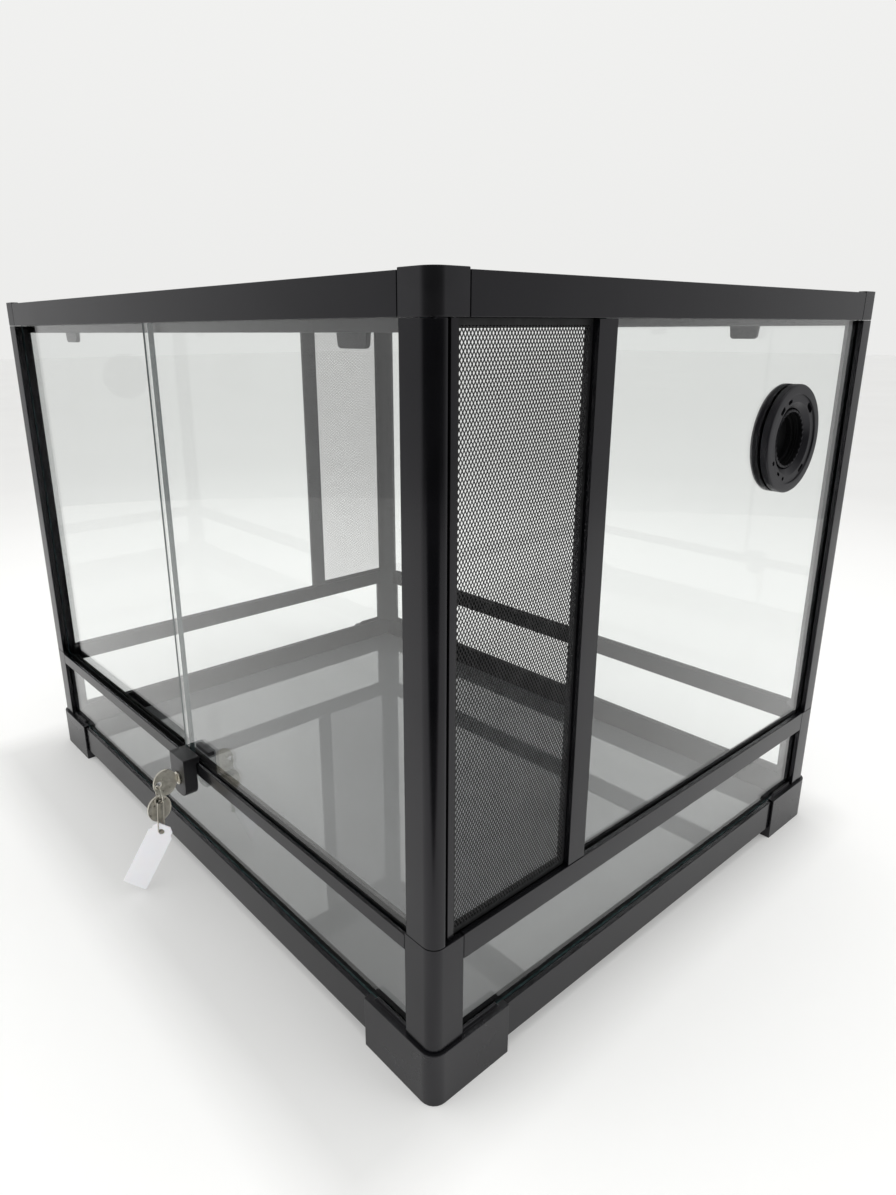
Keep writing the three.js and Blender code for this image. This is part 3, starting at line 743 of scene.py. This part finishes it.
def make_world():
    """A pale room, a little brighter overhead."""
    world = bpy.data.worlds.new("studio")
    bpy.context.scene.world = world
    world.use_nodes = True
    tree = world.node_tree
    back = tree.nodes["Background"]
    where = tree.nodes.new("ShaderNodeTexCoord")
    split = tree.nodes.new("ShaderNodeSeparateXYZ")
    tree.links.new(where.outputs["Generated"], split.inputs["Vector"])
    height = tree.nodes.new("ShaderNodeValToRGB")
    height.color_ramp.elements[0].position = 0.0
    height.color_ramp.elements[0].color = (0.84, 0.84, 0.83, 1)
    height.color_ramp.elements[1].position = 0.9
    height.color_ramp.elements[1].color = (0.95, 0.95, 0.94, 1)
    tree.links.new(split.outputs["Z"], height.inputs["Fac"])
    tree.links.new(height.outputs["Color"], back.inputs["Color"])
    back.inputs["Strength"].default_value = 1.0


FLOOR_SIZE = 14
# The floor's glow: its values at the start and end of a range of distances (m) from the cage. The first
# pair dims it beside the cage, a painted contact shadow, the second further away; they multiply.
PAINTED_SHADOW_GLOW, FAR_GLOW = (0.50, 1.0, 0.0, 0.045), (0.37, 0.14, 0.3, 1.6)
ROOM_RADIUS, ROOM_HIGH = 1.7, 2.4
ROOM_GREY, ROOM_DARK = 0.6, 0.02  # the room's brightness all round and towards the camera
ROOM_TURNS_DARK = (0.35 * ROOM_RADIUS, 0.62 * ROOM_RADIUS)
# The dark ground starts this far from the front right foot; its half angle in degrees and its steps.
DARK_START, DARK_HALF_ANGLE, DARK_STEPS = 0.2, 48, 12
DARK_LIFT = 0.002  # above the floor


def make_stage():
    """A white floor that glows faintly, least beside the cage: a painted shadow where the cage's own
    shadow falls.
    """
    bm = bmesh.new()
    bmesh.ops.create_grid(bm, x_segments=2, y_segments=2, size=FLOOR_SIZE)
    mesh = finished(bm, "floor")
    floor = bpy.data.objects.new("stage_floor", mesh)
    bpy.context.scene.collection.objects.link(floor)
    m = Nodes("stage_white").set(Specular_IOR_Level=0.2, Emission_Color=(1, 1, 0.99, 1))
    beside = m.vector("SUBTRACT", m.vector("ABSOLUTE", m.where), (CAD_HIGH.x, CAD_HIGH.y, 0))
    gap = m.vector("LENGTH", m.vector("MAXIMUM", beside, (0, 0, 0)))
    m.drive(
        Emission_Strength=m.times(m.ramp(gap, *PAINTED_SHADOW_GLOW), m.ramp(gap, *FAR_GLOW)),
        Base_Color=m.blend(m.noise(1.2, 3), (0.68, 0.68, 0.675), (0.70, 0.70, 0.695)),
        Roughness=m.ramp(m.noise(3, 3), 0.55, 0.7),
    )
    mesh.materials.append(m.material)


def reflected_only(name, bm, material):
    """A studio card that only reflections see: it shades nothing and no view shows it."""
    card = bpy.data.objects.new(name, finished(bm, name))
    bpy.context.scene.collection.objects.link(card)
    card.data.materials.append(material)
    card.visible_camera = card.visible_transmission = False
    card.visible_diffuse = card.visible_shadow = False


def make_room():
    """What the gloss reflects: a grey room round the cage, dark on the camera's side."""
    towards = Vector((-CAMERA_AHEAD[0], -CAMERA_AHEAD[1], 0)).normalized()
    wall = bmesh.new()
    bmesh.ops.create_cone(
        wall, cap_ends=False, segments=64, radius1=ROOM_RADIUS, radius2=ROOM_RADIUS, depth=ROOM_HIGH
    )
    bmesh.ops.translate(wall, vec=(0, 0, ROOM_HIGH / 2), verts=wall.verts)
    m = Nodes("stage_room").set(
        Roughness=1.0, Specular_IOR_Level=0.0, Base_Color=(0, 0, 0, 1), Emission_Color=(1, 1, 1, 1)
    )
    facing = m.vector("DOT_PRODUCT", m.where, towards)
    m.drive(Emission_Strength=m.ramp(facing, ROOM_GREY, ROOM_DARK, *ROOM_TURNS_DARK))
    reflected_only("stage_room", wall, m.material)

    low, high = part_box("foot_front_right")
    corner = Vector((high.x, low.y, DARK_LIFT))
    ground = bmesh.new()
    points = [corner + towards * DARK_START]
    for i in range(DARK_STEPS + 1):
        angle = DARK_HALF_ANGLE * (2 * i / DARK_STEPS - 1)
        turn = Matrix.Rotation(math.radians(angle), 3, "Z")
        points.append(corner + turn @ towards * ROOM_RADIUS)
    ground.faces.new([ground.verts.new(point) for point in points])
    m = Nodes("stage_dark").set(
        Roughness=1.0, Specular_IOR_Level=0.0, Base_Color=(0.015, 0.015, 0.015, 1)
    )
    reflected_only("stage_dark_ground", ground, m.material)


def area_light(name, at, towards, size, watts):
    """A rectangular softbox at one point, facing another."""
    data = bpy.data.lights.new(name, "AREA")
    data.shape = "RECTANGLE"
    data.size, data.size_y = size
    data.energy = watts
    light = bpy.data.objects.new(name, data)
    bpy.context.scene.collection.objects.link(light)
    light.location = at
    light.rotation_mode = "QUATERNION"
    light.rotation_quaternion = (Vector(towards) - Vector(at)).to_track_quat("-Z", "Y")


def make_lights():
    area_light("softbox_right", (2.2, 0.9, 1.9), (0, 0, 0.2), (1.2, 1.6), 7)
    area_light("softbox_top", (0.2, 0.3, 2.6), (0, 0, 0), (1.8, 1.8), 6)
    area_light("softbox_left", (-1.0, -1.9, 1.5), (0.0, -0.2, 0.1), (1.4, 1.0), 6)


make_camera()
make_materials()
build_pieces()
make_world()
make_stage()
make_room()
make_lights()

scene = bpy.context.scene
scene.view_settings.view_transform = "Standard"
# Enough for the rays that cross every pane twice.
scene.cycles.max_bounces = 16
scene.cycles.transmission_bounces = 16
scene.cycles.transparent_max_bounces = 16
